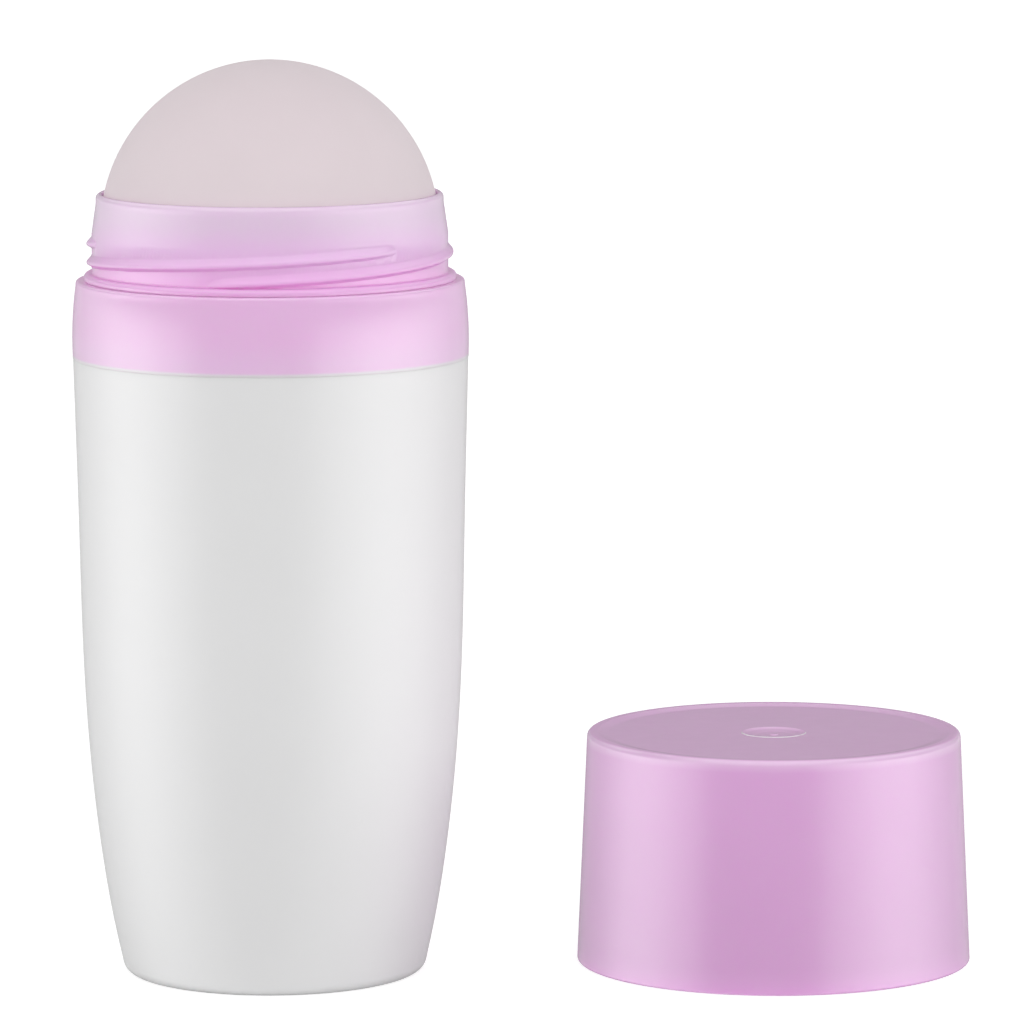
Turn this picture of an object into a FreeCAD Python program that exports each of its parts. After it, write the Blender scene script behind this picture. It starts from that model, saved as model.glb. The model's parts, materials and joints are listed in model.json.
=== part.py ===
"""Roll-on bottle with its cap standing beside it, mouth down.

Millimetres, +Z up. The origin is the centre of the bottle's foot, and the bottle's axis is the Z axis.
Each function named after a piece makes that piece, and main() writes each one as its own STEP file.
"""
import FreeCAD, Part

import math
import os

Vector = FreeCAD.Vector

# Ball: two moulded halves welded at the equator
ball_diameter = 35.5
ball_wall = 1.6
ball_lap_height = 1.2
ball_lap_gap = 0.05

# Fits shared by mating pieces
ball_running_gap = 0.2
fit_gap = 0.1
closeness = 0.000001

# Ball housing: the socket and its lip, above the bead that sits on the collar
ball_rise = 5.20
socket_wall = 0.70
lip_rise = 3.87
lip_gap = 0.1
lip_edge_drop = 0.55
lip_lean = 0.12
lip_taper_height = 1.1
lip_round = 0.50
lip_set_in = 0.46
lip_cone_height = 3.2
bead_reach = 0.85
bead_height = 0.77
bead_round = 0.45

# Screw thread of the neck: right hand
thread_starts = 3
thread_lead = 5.9
thread_height = 0.55
thread_root_width = 1.60
thread_crest_width = 0.42
thread_crest_drop = 0.12
thread_sweep = 186.0
thread_start_angle = 131.0
thread_first_rise = 1.17
thread_runout_angle = 20.0
thread_step_angle = 15.5
thread_sink = 0.12

# Plug of the housing, pushed into the bottle's neck
plug_set_in = 0.45
plug_wall = 1.0
plug_length = 7.83
plug_foot_height = 2.6
plug_foot_wall = 1.7
plug_lead_in = 0.4
plug_snap_drop = 3.2
plug_snap_reach = 0.3
plug_snap_width = 1.0

# Seal ring round the foot of the plug, cut square with broken corners
seal_section = 1.0
seal_corner = 0.2
seal_radial_gap = 0.02
seal_side_gap = 0.1
seal_lift = 0.7

# Ball seat: soft cup under the ball
seat_liquid_gap = 0.6
seat_wall = 1.0
seat_band_height = 2.4
seat_rib_count = 6
seat_rib_width = 1.0
seat_rib_inner_radius = 5.4
seat_rib_outer_radius = 14.0
seat_port_radius = 3.6
seat_port_wall = 1.0
seat_port_length = 2.4

# Bottle body: blown shell, widest under the collar
body_height = 65.3
body_wall = 1.1
body_floor = 1.5
body_set_in = 0.05
shoulder_chamfer = 0.30
foot_round_height = 1.1
foot_inner_slope = 2.4
foot_flank_angle = 12.0
flank_top_angle = 1.4
foot_recess_radius = 11.0
foot_recess_depth = 1.1
foot_recess_slope = 1.6
neck_wall = 1.0
neck_height = 6.8
neck_rim_chamfer = 0.25
neck_snap_height = 3.0
neck_snap_reach = 0.25
neck_snap_width = 1.0

# The flank's curve from foot to shoulder, as shares of its height and of the body's radius
flank_shares = (
    (0.000, 0.7750),
    (0.060, 0.8150),
    (0.145, 0.8609),
    (0.290, 0.9174),
    (0.490, 0.9604),
    (0.740, 0.9797),
    (1.000, 1.0000),
)

# Shoulder collar: sleeve round the bottle's neck
collar_wall = 1.36
collar_height = 8.13
collar_ledge_gap = 0.05
collar_top_set_in = 0.40
collar_belly = 0.17
collar_top_chamfer = 0.30
collar_foot_chamfer = 0.30

# Cap: screws over the neck, shown taken off
cap_top_thickness = 1.54
cap_rim_overhang = 0.18
cap_draft_angle = 2.60
cap_mouth_gap = 0.25
cap_mouth_clear = 0.3
cap_mouth_step = 0.4
cap_crest_gap = 0.15
cap_root_gap = 0.2
cap_thread_zone = 6.5
cap_thread_first_rise = 2.35
cap_thread_sweep = 110.0
cap_thread_step_in = 0.12
cap_side_wall = 1.45
cap_rim_chamfer = 0.25
cap_top_round = 0.55
cap_inner_chamfer = 1.0
cap_dish_depth = 0.22
cap_dish_land = 1.1
cap_dish_slope = 1.2
cap_dimple_radius = 3.4
cap_dimple_depth = 0.40
cap_dimple_slope = 0.15
cap_gate_radius = 0.45
cap_gate_height = 0.20
cap_ball_gap = 0.07
cap_press_radius = 7.6
cap_press_wall = 1.0
cap_place_x = 53.01
cap_place_y = 4.92

# Radii worked out from the sizes above, from the ball outwards
ball_radius = ball_diameter / 2
socket_radius = ball_radius + ball_running_gap
neck_root_radius = socket_radius + socket_wall
thread_crest_radius = neck_root_radius + thread_height
bead_radius = neck_root_radius + bead_reach
plug_radius = neck_root_radius - plug_set_in
plug_bore = plug_radius - plug_wall
plug_foot_bore = plug_radius - plug_foot_wall
bottle_bore = plug_radius + fit_gap
neck_radius = bottle_bore + neck_wall
collar_bore = neck_radius + fit_gap
collar_radius = collar_bore + collar_wall
body_radius = collar_radius - body_set_in
cap_rim_radius = collar_radius + cap_rim_overhang

# Heights worked out from the sizes above, from the foot upwards
collar_top_z = body_height + collar_height
neck_rim_z = body_height + neck_height
plug_foot_z = collar_top_z - plug_length
plug_ledge_z = plug_foot_z + plug_foot_height
ball_z = collar_top_z + ball_rise
lip_z = ball_z + lip_rise
cap_ceiling_z = ball_rise + ball_radius + cap_ball_gap
cap_height = cap_ceiling_z + cap_top_thickness

Z_AXIS = Vector(0, 0, 1)
ORIGIN = Vector(0, 0, 0)


def point(radius, height):
    return Vector(radius, 0, height)


def line(start, end):
    return Part.LineSegment(start, end).toShape()


def rounded(corners):
    """Edges along (radius, height, rounding) corners, each rounding being a tangent arc.

    The first and last corners are the open ends of the run, and their rounding isn't read.
    """
    edges = []
    last = point(*corners[0][:2])
    for before, here, after in zip(corners, corners[1:], corners[2:]):
        tip = point(*here[:2])
        rounding = here[2]
        start = end = tip
        if rounding:
            back = (point(*before[:2]) - tip).normalize()
            ahead = (point(*after[:2]) - tip).normalize()
            half = back.getAngle(ahead) / 2
            inward = (back + ahead).normalize()
            start = tip + back * (rounding / math.tan(half))
            end = tip + ahead * (rounding / math.tan(half))
        if not start.isEqual(last, closeness):
            edges.append(line(last, start))
        if rounding:
            middle = tip + inward * (rounding / math.sin(half) - rounding)
            edges.append(Part.Arc(start, middle, end).toShape())
        last = end
    finish = point(*corners[-1][:2])
    if not finish.isEqual(last, closeness):
        edges.append(line(last, finish))
    return edges


def revolve(edges):
    """The solid swept round the Z axis by a closed outline of edges."""
    solid = Part.Face(Part.Wire(edges)).revolve(ORIGIN, Z_AXIS, 360)
    if solid.Volume < 0:
        solid.reverse()
    return solid


def ring(corners):
    """A turned solid from a closed ring of corners, whose first corner stays sharp."""
    return revolve(rounded(list(corners) + [corners[0]]))


def rise_on_ball(radius, turning_radius):
    """Height above the ball's centre of a concentric sphere's circle of the given turning radius."""
    return math.sqrt(radius ** 2 - turning_radius ** 2)


def arc_on_ball(radius, start_rise, end_rise):
    """An arc of a sphere concentric with the ball, between two heights above the ball's centre."""
    rises = (start_rise, (start_rise + end_rise) / 2, end_rise)
    spots = [point(rise_on_ball(radius, rise), ball_z + rise) for rise in rises]
    return Part.Arc(*spots).toShape()


def half_ball(side, lap_radius, lap_rise):
    """A hollow half ball, upper for side 1 and lower for side -1, with its stepped rim."""
    inner = ball_radius - ball_wall

    def spot(radius, rise):
        return point(radius, ball_z + side * rise)

    def quarter(radius, pole_first, low_rise):
        high = spot(0, radius)
        low = spot(rise_on_ball(radius, low_rise), low_rise)
        middle = spot(radius * math.sin(math.radians(45)), radius * math.cos(math.radians(45)))
        ends = (high, middle, low) if pole_first else (low, middle, high)
        return Part.Arc(*ends).toShape()

    lap_end = spot(lap_radius, lap_rise)
    return revolve([
        quarter(ball_radius, True, 0),
        line(spot(ball_radius, 0), spot(lap_radius, 0)),
        line(spot(lap_radius, 0), lap_end),
        line(lap_end, spot(rise_on_ball(inner, lap_rise), lap_rise)),
        quarter(inner, False, lap_rise),
        line(spot(0, inner), spot(0, ball_radius)),
    ])


def ball_upper_shell():
    """Upper half of the hollow ball, with a lap that drops inside the lower half's rim."""
    lap_radius = ball_radius - ball_wall / 2 - ball_lap_gap
    return half_ball(1, lap_radius, -ball_lap_height)


def ball_lower_shell():
    """Lower half of the hollow ball, its rim rebated inside for the upper half's lap."""
    rebate = ball_lap_height + ball_lap_gap
    return half_ball(-1, ball_radius - ball_wall / 2, rebate)


def thread_ridge(root, crest, first_angle, sweep, first_z):
    """One helical ridge from the root radius to the crest radius, with run-outs at both ends."""
    side = math.copysign(1, crest - root)
    base = root - side * thread_sink
    steps = math.ceil(sweep / thread_step_angle)
    sections = []
    for step in range(steps + 1):
        turn = sweep * step / steps
        full = min(1, turn / thread_runout_angle, (sweep - turn) / thread_runout_angle)
        top = base + (crest - base) * full + side * thread_sink / 2 * (1 - full)
        z = first_z + thread_lead * turn / 360
        crest_z = z - thread_crest_drop
        profile = [
            point(base, z - thread_root_width / 2),
            point(top, crest_z - thread_crest_width / 2),
            point(top, crest_z + thread_crest_width / 2),
            point(base, z + thread_root_width / 2),
        ]
        section = Part.makePolygon(profile + profile[:1])
        section.rotate(ORIGIN, Z_AXIS, first_angle + turn)
        sections.append(section)
    return Part.makeLoft(sections, True, False)


def ball_housing():
    """Threaded neck with the ball's socket and lip above, and a plug for the bottle's neck below."""
    lip_edge_rise = lip_rise - lip_edge_drop
    lip_inner = rise_on_ball(ball_radius + lip_gap, lip_edge_rise)
    lip_outer = neck_root_radius - lip_set_in
    lip_shoulder_z = lip_z - 2 * lip_round
    socket_foot_rise = -rise_on_ball(socket_radius, plug_bore)
    snap_z = collar_top_z - plug_snap_drop
    groove_floor = bottle_bore - seal_section - 2 * seal_radial_gap
    groove_z = plug_foot_z + seal_lift
    groove_top_z = groove_z + seal_section + 2 * seal_side_gap
    run = rounded([
        (lip_inner, ball_z + lip_edge_rise, 0),
        (lip_inner + lip_lean, lip_z, 0),
        (lip_outer, lip_z, lip_round),
        (lip_outer, lip_shoulder_z, 0),
        (neck_root_radius, lip_shoulder_z - lip_cone_height, 0),
        (neck_root_radius, collar_top_z + bead_height, 0),
        (bead_radius, collar_top_z + bead_height, bead_round),
        (bead_radius, collar_top_z, 0),
        (plug_radius, collar_top_z, 0),
        (plug_radius, snap_z + plug_snap_width / 2, 0),
        (plug_radius + plug_snap_reach, snap_z, 0),
        (plug_radius, snap_z - plug_snap_width / 2, 0),
        (plug_radius, groove_top_z, 0),
        (groove_floor, groove_top_z, 0),
        (groove_floor, groove_z, 0),
        (plug_radius, groove_z, 0),
        (plug_radius, plug_foot_z + plug_lead_in, 0),
        (plug_radius - plug_lead_in, plug_foot_z, 0),
        (plug_foot_bore, plug_foot_z, 0),
        (plug_foot_bore, plug_ledge_z, 0),
        (plug_bore, plug_ledge_z, 0),
        (plug_bore, ball_z + socket_foot_rise, 0),
    ])
    socket_top_rise = lip_edge_rise - lip_taper_height
    socket_top = point(rise_on_ball(socket_radius, socket_top_rise), ball_z + socket_top_rise)
    taper = line(socket_top, point(lip_inner, ball_z + lip_edge_rise))
    housing = revolve(run + [arc_on_ball(socket_radius, socket_foot_rise, socket_top_rise), taper])
    for start in range(thread_starts):
        angle = thread_start_angle + 360 * start / thread_starts
        first_z = collar_top_z + thread_first_rise
        ridge = thread_ridge(neck_root_radius, thread_crest_radius, angle, thread_sweep, first_z)
        housing = housing.fuse(ridge)
    return housing


def ball_seat():
    """Soft cup under the ball, with ribs for the ball to rest on and a port for the liquid."""
    cup = ball_radius + seat_liquid_gap
    shell = cup + seat_wall
    band_radius = plug_bore - fit_gap
    band_top_z = plug_ledge_z + seat_band_height
    port_outer = seat_port_radius + seat_port_wall
    port_foot_z = ball_z - shell - seat_port_length
    shell_low = -rise_on_ball(shell, port_outer)
    shell_high = plug_ledge_z - ball_z
    cup_high = band_top_z - ball_z
    cup_low = -rise_on_ball(cup, seat_port_radius)
    shell_top = point(rise_on_ball(shell, shell_high), plug_ledge_z)
    cup_top = point(rise_on_ball(cup, cup_high), band_top_z)
    seat = revolve([
        line(point(seat_port_radius, ball_z + cup_low), point(seat_port_radius, port_foot_z)),
        line(point(seat_port_radius, port_foot_z), point(port_outer, port_foot_z)),
        line(point(port_outer, port_foot_z), point(port_outer, ball_z + shell_low)),
        arc_on_ball(shell, shell_low, shell_high),
        line(shell_top, point(band_radius, plug_ledge_z)),
        line(point(band_radius, plug_ledge_z), point(band_radius, band_top_z)),
        line(point(band_radius, band_top_z), cup_top),
        arc_on_ball(cup, cup_high, cup_low),
    ])
    centre = point(0, ball_z)
    rib_shell = Part.makeSphere(cup + seat_wall / 2, centre).cut(Part.makeSphere(socket_radius, centre))
    rib_length = seat_rib_outer_radius - seat_rib_inner_radius
    for rib in range(seat_rib_count):
        corner = Vector(seat_rib_inner_radius, -seat_rib_width / 2, ball_z - shell)
        plate = Part.makeBox(rib_length, seat_rib_width, shell, corner)
        plate.rotate(ORIGIN, Z_AXIS, 360 * rib / seat_rib_count)
        seat = seat.fuse(plate.common(rib_shell))
    return seat


def plug_seal():
    """Rubber ring in the plug's groove, against the wall of the bottle's neck."""
    outer = bottle_bore - seal_radial_gap
    inner = outer - seal_section
    foot_z = plug_foot_z + seal_lift + seal_side_gap
    top_z = foot_z + seal_section
    return ring([
        (inner, foot_z, 0),
        (outer - seal_corner, foot_z, 0),
        (outer, foot_z + seal_corner, 0),
        (outer, top_z - seal_corner, 0),
        (outer - seal_corner, top_z, 0),
        (inner, top_z, 0),
    ])


def flank_points(wall, foot_z, top_z):
    """Points up the body's side, drawn in from the outside by the wall."""
    return [
        (body_radius * radius_share - wall, foot_z + (top_z - foot_z) * height_share)
        for height_share, radius_share in flank_shares
    ]


def flank_curve(places):
    """The body's outside as one smooth curve through its points."""
    leans = [math.radians(angle) for angle in (foot_flank_angle, flank_top_angle)]
    tangents = [point(math.sin(lean), math.cos(lean)) for lean in leans]
    curve = Part.BSplineCurve()
    curve.interpolate(
        Points=[point(*place) for place in places],
        InitialTangent=tangents[0],
        FinalTangent=tangents[1],
    )
    return curve.toShape()


def foot_corner(end):
    """The rounding from the ground up to the end given, and the point where it leaves the ground."""
    lean = math.radians(foot_flank_angle)
    rounding = foot_round_height / (1 - math.sin(lean))
    centre = end + point(-rounding * math.cos(lean), rounding * math.sin(lean))
    half_way = (math.pi / 2 - lean) / 2
    start = centre - point(0, rounding)
    middle = centre + point(rounding * math.sin(half_way), -rounding * math.cos(half_way))
    return start, Part.Arc(start, middle, end).toShape()


def bottle_body():
    """Blown shell with a recessed foot, a shoulder and a plain neck with snap features."""
    outer_places = flank_points(0, foot_round_height, body_height - shoulder_chamfer)
    foot_start, foot_arc = foot_corner(point(*outer_places[0]))
    floor_z = foot_recess_depth + body_floor
    inner_top_z = body_height - body_wall
    inner_places = flank_points(body_wall, floor_z + foot_inner_slope, inner_top_z)
    bead_z = body_height + neck_snap_height
    groove_z = collar_top_z - plug_snap_drop
    foot = rounded([
        (0, foot_recess_depth, 0),
        (foot_recess_radius, foot_recess_depth, 0),
        (foot_recess_radius + foot_recess_slope, 0, 0),
        (foot_start.x, 0, 0),
    ])
    neck_and_inside = rounded([
        outer_places[-1] + (0,),
        (body_radius - shoulder_chamfer, body_height, 0),
        (neck_radius, body_height, 0),
        (neck_radius, bead_z - neck_snap_width / 2, 0),
        (neck_radius + neck_snap_reach, bead_z, 0),
        (neck_radius, bead_z + neck_snap_width / 2, 0),
        (neck_radius, neck_rim_z - neck_rim_chamfer, 0),
        (neck_radius - neck_rim_chamfer, neck_rim_z, 0),
        (bottle_bore + neck_rim_chamfer, neck_rim_z, 0),
        (bottle_bore, neck_rim_z - neck_rim_chamfer, 0),
        (bottle_bore, groove_z + plug_snap_width / 2, 0),
        (bottle_bore + plug_snap_reach, groove_z, 0),
        (bottle_bore, groove_z - plug_snap_width / 2, 0),
        (bottle_bore, inner_top_z, 0),
        *(place + (0,) for place in reversed(inner_places)),
        (inner_places[0][0] - foot_inner_slope, floor_z, 0),
        (0, floor_z, 0),
        (0, foot_recess_depth, 0),
    ])
    return revolve(foot + [foot_arc, flank_curve(outer_places)] + neck_and_inside)


def shoulder_collar():
    """Sleeve round the bottle's neck, with a ledge over the rim that the housing's bead holds down."""
    bead_z = body_height + neck_snap_height
    ledge_z = neck_rim_z + collar_ledge_gap
    hole = plug_radius + fit_gap
    top_radius = collar_radius - collar_top_set_in
    side_foot = point(collar_radius, body_height + collar_foot_chamfer)
    side_top = point(top_radius, collar_top_z - collar_top_chamfer)
    belly = (side_foot + side_top) * 0.5 + point(collar_belly, 0)
    inside = rounded([
        (top_radius, collar_top_z - collar_top_chamfer, 0),
        (top_radius - collar_top_chamfer, collar_top_z, 0),
        (hole, collar_top_z, 0),
        (hole, ledge_z, 0),
        (collar_bore, ledge_z, 0),
        (collar_bore, bead_z + neck_snap_width / 2, 0),
        (collar_bore + neck_snap_reach, bead_z, 0),
        (collar_bore, bead_z - neck_snap_width / 2, 0),
        (collar_bore, body_height, 0),
        (collar_radius - collar_foot_chamfer, body_height, 0),
        (collar_radius, body_height + collar_foot_chamfer, 0),
    ])
    return revolve([Part.Arc(side_foot, belly, side_top).toShape()] + inside)


def cap():
    """Screw cap, mouth down: drafted side, dished top with a gate dimple, inner thread and press ring."""
    draft = math.tan(math.radians(cap_draft_angle))
    top_radius = cap_rim_radius - draft * cap_height
    dish_z = cap_height - cap_dish_depth
    dimple_z = dish_z - cap_dimple_depth
    gate_z = dimple_z + cap_gate_height
    land_radius = top_radius - cap_dish_land
    mouth_radius = bead_radius + cap_mouth_gap
    mouth_z = bead_height + cap_mouth_clear
    wall_radius = thread_crest_radius + cap_crest_gap
    ridge_radius = neck_root_radius + cap_root_gap
    inner_radius = cap_rim_radius - draft * cap_ceiling_z - cap_side_wall
    press_z = ball_rise + rise_on_ball(ball_radius + cap_ball_gap, cap_press_radius)
    press_outer = cap_press_radius + cap_press_wall
    shell = ring([
        (0, cap_ceiling_z, 0),
        (0, gate_z, 0),
        (cap_gate_radius, gate_z, 0),
        (cap_gate_radius, dimple_z, 0),
        (cap_dimple_radius - cap_dimple_slope, dimple_z, 0),
        (cap_dimple_radius, dish_z, 0),
        (land_radius - cap_dish_slope, dish_z, 0),
        (land_radius, cap_height, 0),
        (top_radius, cap_height, cap_top_round),
        (cap_rim_radius - draft * cap_rim_chamfer, cap_rim_chamfer, 0),
        (cap_rim_radius - cap_rim_chamfer, 0, 0),
        (mouth_radius + cap_rim_chamfer, 0, 0),
        (mouth_radius, cap_rim_chamfer, 0),
        (mouth_radius, mouth_z, 0),
        (wall_radius, mouth_z + cap_mouth_step, 0),
        (wall_radius, cap_thread_zone, 0),
        (wall_radius - cap_thread_step_in, cap_thread_zone + cap_thread_step_in, 0),
        (inner_radius, cap_ceiling_z - cap_inner_chamfer, 0),
        (inner_radius - cap_inner_chamfer, cap_ceiling_z, 0),
        (press_outer, cap_ceiling_z, 0),
        (press_outer, press_z, 0),
        (cap_press_radius, press_z, 0),
        (cap_press_radius, cap_ceiling_z, 0),
    ])
    pitch = thread_lead / thread_starts
    under_ridge = thread_first_rise - pitch / 2
    turn_on = 360 * (cap_thread_first_rise - under_ridge) / thread_lead
    for start in range(thread_starts):
        angle = thread_start_angle + turn_on + 360 * start / thread_starts
        ridge = thread_ridge(wall_radius, ridge_radius, angle, cap_thread_sweep, cap_thread_first_rise)
        shell = shell.fuse(ridge)
    shell.translate(Vector(cap_place_x, cap_place_y, 0))
    return shell


PIECES = (
    bottle_body,
    shoulder_collar,
    ball_housing,
    plug_seal,
    ball_seat,
    ball_lower_shell,
    ball_upper_shell,
    cap,
)


def main():
    os.makedirs("parts", exist_ok=True)
    for piece in PIECES:
        shape = piece()
        shape.exportStep(os.path.join("parts", piece.__name__ + ".step"))
        box = shape.BoundBox
        print(piece.__name__, "solids", len(shape.Solids), "valid", shape.isValid(),
              "volume", round(shape.Volume, 1), "z", round(box.ZMin, 3), round(box.ZMax, 3),
              "x", round(box.XMin, 3), round(box.XMax, 3))


if __name__ == "__main__":
    main()
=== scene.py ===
"""Roll-on bottle with its cap standing beside it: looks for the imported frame, laid out as an add-on.

Each operator makes one piece, the two halves of the ball, the finishes of the unseen pieces, or the stage. Shapes are
drawn as outlines, spun round their own axis and finished in place, so every piece's object sits at the origin.
Lengths are in metres, and small sizes are written in MM.
"""
import json
import math

import bpy
from mathutils import Matrix, Vector


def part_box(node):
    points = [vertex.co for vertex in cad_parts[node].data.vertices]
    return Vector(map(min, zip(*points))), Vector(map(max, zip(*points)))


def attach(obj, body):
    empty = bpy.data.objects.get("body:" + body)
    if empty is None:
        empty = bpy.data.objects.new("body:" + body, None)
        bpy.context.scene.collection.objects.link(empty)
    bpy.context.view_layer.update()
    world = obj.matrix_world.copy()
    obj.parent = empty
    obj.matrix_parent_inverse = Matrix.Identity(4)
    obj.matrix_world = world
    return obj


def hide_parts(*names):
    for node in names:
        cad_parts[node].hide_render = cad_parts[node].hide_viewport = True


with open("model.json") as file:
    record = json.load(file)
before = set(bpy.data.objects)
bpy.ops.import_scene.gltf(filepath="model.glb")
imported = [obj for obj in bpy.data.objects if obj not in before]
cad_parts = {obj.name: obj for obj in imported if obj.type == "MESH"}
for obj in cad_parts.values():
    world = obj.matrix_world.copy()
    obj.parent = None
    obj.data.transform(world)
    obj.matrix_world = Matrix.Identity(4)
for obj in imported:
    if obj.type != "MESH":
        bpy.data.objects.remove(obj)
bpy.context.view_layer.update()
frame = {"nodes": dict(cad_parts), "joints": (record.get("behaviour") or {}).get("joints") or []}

bl_info = {
    "name": "Roll-on bottle",
    "version": (1, 0, 0),
    "blender": (4, 5, 0),
    "location": "View3D > Sidebar > Roll-on",
    "description": "Builds a roll-on bottle and its cap, with their finishes and a studio",
    "category": "Object",
}

MM = 0.001

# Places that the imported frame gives
BALL_CENTRE = Vector(frame["joints"][0]["pos_m"])
CAP_LOW, CAP_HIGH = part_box("cap")
CAP_AXIS = Vector(((CAP_LOW.x + CAP_HIGH.x) / 2, (CAP_LOW.y + CAP_HIGH.y) / 2, 0))
COLLAR_LOW, COLLAR_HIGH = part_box("shoulder_collar")
SHOULDER_HEIGHT = COLLAR_LOW.z
COLLAR_TOP = COLLAR_HIGH.z
BOTTLE_AXIS = Vector((0, 0, 0))
Z_AXIS = Vector((0, 0, 1))

# How finely the turned pieces are made: steps round the axis, along a rounding and along each curved side
AROUND = 240
ARC_STEPS = 7
BALL_OUTER_STEPS = 48
BALL_INNER_STEPS = 40
SOCKET_STEPS = 20
COLLAR_STEPS = 24
FLANK_STEPS = 56

# The straight that holds each end of a rounding, the plane that an outline starts from, and the gap under which
# two spots are one
HOLDING_GAP = 0.10 * MM
START_PLANE = 0.10 * MM
MERGE_GAP = 0.0005 * MM
CREASE_ANGLE = math.radians(31)


class RollOnSizes(bpy.types.PropertyGroup):
    """Sizes of the bottle that a user would change."""

    ball_diameter: bpy.props.FloatProperty(
        name="Ball diameter", description="Diameter of the rolling ball", default=0.0355, unit="LENGTH")
    ball_wall: bpy.props.FloatProperty(
        name="Ball wall", description="Wall of the hollow ball", default=0.0016, unit="LENGTH")
    running_gap: bpy.props.FloatProperty(
        name="Running gap", description="Gap between the ball and its socket", default=0.0002, unit="LENGTH")
    neck_radius: bpy.props.FloatProperty(
        name="Neck radius", description="Radius at the root of the neck's thread", default=0.01865, unit="LENGTH")
    thread_height: bpy.props.FloatProperty(
        name="Thread height", description="Height of the thread above its root", default=0.00055, unit="LENGTH")
    thread_lead: bpy.props.FloatProperty(
        name="Thread lead", description="Rise of one thread in a full turn", default=0.0059, unit="LENGTH")
    lip_rise: bpy.props.FloatProperty(
        name="Lip rise", description="Height of the lip above the ball's centre", default=0.00387, unit="LENGTH")
    collar_radius: bpy.props.FloatProperty(
        name="Collar radius", description="Radius of the collar at its foot", default=0.02075, unit="LENGTH")
    body_radius: bpy.props.FloatProperty(
        name="Body radius", description="Radius of the body at its shoulder", default=0.02071, unit="LENGTH")
    body_wall: bpy.props.FloatProperty(
        name="Body wall", description="Wall of the blown body", default=0.0011, unit="LENGTH")
    cap_rim_radius: bpy.props.FloatProperty(
        name="Cap rim radius", description="Radius of the cap at its rim", default=0.02094, unit="LENGTH")
    cap_draft: bpy.props.FloatProperty(
        name="Cap draft", description="Slope of the cap's side", default=math.radians(2.60), subtype="ANGLE")


class RollOnColours(bpy.types.PropertyGroup):
    """Colours of the finishes."""

    body: bpy.props.FloatVectorProperty(
        name="Body", description="White of the body", subtype="COLOR", size=3, default=(0.89, 0.89, 0.893))
    collar: bpy.props.FloatVectorProperty(
        name="Collar", description="Pink of the collar", subtype="COLOR", size=3, default=(1.0, 0.57, 0.87))
    neck: bpy.props.FloatVectorProperty(
        name="Neck", description="Pink of the neck at its foot", subtype="COLOR", size=3, default=(1.0, 0.52, 0.87))
    neck_lip: bpy.props.FloatVectorProperty(
        name="Neck lip", description="Paler pink of the neck at its lip", subtype="COLOR", size=3,
        default=(1.0, 0.70, 0.98))
    cap: bpy.props.FloatVectorProperty(
        name="Cap", description="Pink of the cap", subtype="COLOR", size=3, default=(0.805, 0.453, 0.78))
    ball: bpy.props.FloatVectorProperty(
        name="Ball", description="Colour of the frosted ball", subtype="COLOR", size=3, default=(0.85, 0.748, 0.782))
    seat: bpy.props.FloatVectorProperty(
        name="Seat", description="Natural colour of the ball's seat", subtype="COLOR", size=3,
        default=(0.80, 0.79, 0.75))
    seal: bpy.props.FloatVectorProperty(
        name="Seal", description="Grey of the rubber seal", subtype="COLOR", size=3, default=(0.09, 0.09, 0.095))


# ---- Drawing and spinning ----

def deselect_all():
    """Leaves edit mode and selects nothing."""
    if bpy.context.object is not None and bpy.context.object.mode != "OBJECT":
        bpy.ops.object.mode_set(mode="OBJECT")
    bpy.ops.object.select_all(action="DESELECT")


def make_active(piece):
    """Selects one object alone."""
    deselect_all()
    piece.select_set(True)
    bpy.context.view_layer.objects.active = piece


def rounded(corners):
    """Spots along (radius, height, rounding) corners: each rounding becomes an arc, held straight on both sides."""
    spots = [Vector(corners[0][:2])]
    for before, here, after in zip(corners, corners[1:], corners[2:]):
        tip = Vector(here[:2])
        rounding = here[2]
        if not rounding:
            spots.append(tip)
            continue
        back, ahead = Vector(before[:2]) - tip, Vector(after[:2]) - tip
        half = back.angle(ahead) / 2
        reach = rounding / math.tan(half)
        centre = tip + (back.normalized() + ahead.normalized()).normalized() * (rounding / math.sin(half))
        start, end = tip + back.normalized() * reach, tip + ahead.normalized() * reach
        if back.length > reach + 2 * HOLDING_GAP:
            spots.append(start + back.normalized() * HOLDING_GAP)
        first = math.atan2(*(start - centre).yx)
        swing = math.remainder(math.atan2(*(end - centre).yx) - first, math.tau)
        for step in range(ARC_STEPS + 1):
            angle = first + swing * step / ARC_STEPS
            spots.append(centre + Vector((math.cos(angle), math.sin(angle))) * rounding)
        if ahead.length > reach + 2 * HOLDING_GAP:
            spots.append(end + ahead.normalized() * HOLDING_GAP)
    spots.append(Vector(corners[-1][:2]))
    return spots


def along_ball(radius, start_rise, end_rise, steps):
    """Spots on a sphere round the ball's centre, between two heights above that centre."""
    first, last = math.asin(start_rise / radius), math.asin(end_rise / radius)
    angles = [first + (last - first) * step / steps for step in range(steps + 1)]
    return [
        Vector((max(radius * math.cos(angle), 0), BALL_CENTRE.z + radius * math.sin(angle))) for angle in angles
    ]


def draw_outline(name, spots, axis):
    """A wire through (radius, height) spots beside an axis, drawn from a small plane and left in edit mode."""
    deselect_all()
    places = [axis + Vector((radius, 0, height)) for radius, height in spots]
    bpy.ops.mesh.primitive_plane_add(size=START_PLANE, location=places[0])
    outline = bpy.context.object
    outline.name = outline.data.name = name
    bpy.ops.object.transform_apply(location=True, rotation=True, scale=True)
    bpy.ops.object.mode_set(mode="EDIT")
    bpy.ops.mesh.select_mode(type="VERT")
    bpy.ops.mesh.select_all(action="SELECT")
    bpy.ops.mesh.merge(type="CENTER")
    for last, here in zip(places, places[1:]):
        if (here - last).length > MERGE_GAP:
            bpy.ops.mesh.extrude_region_move(TRANSFORM_OT_translate={"value": here - last})
    return outline


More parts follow.
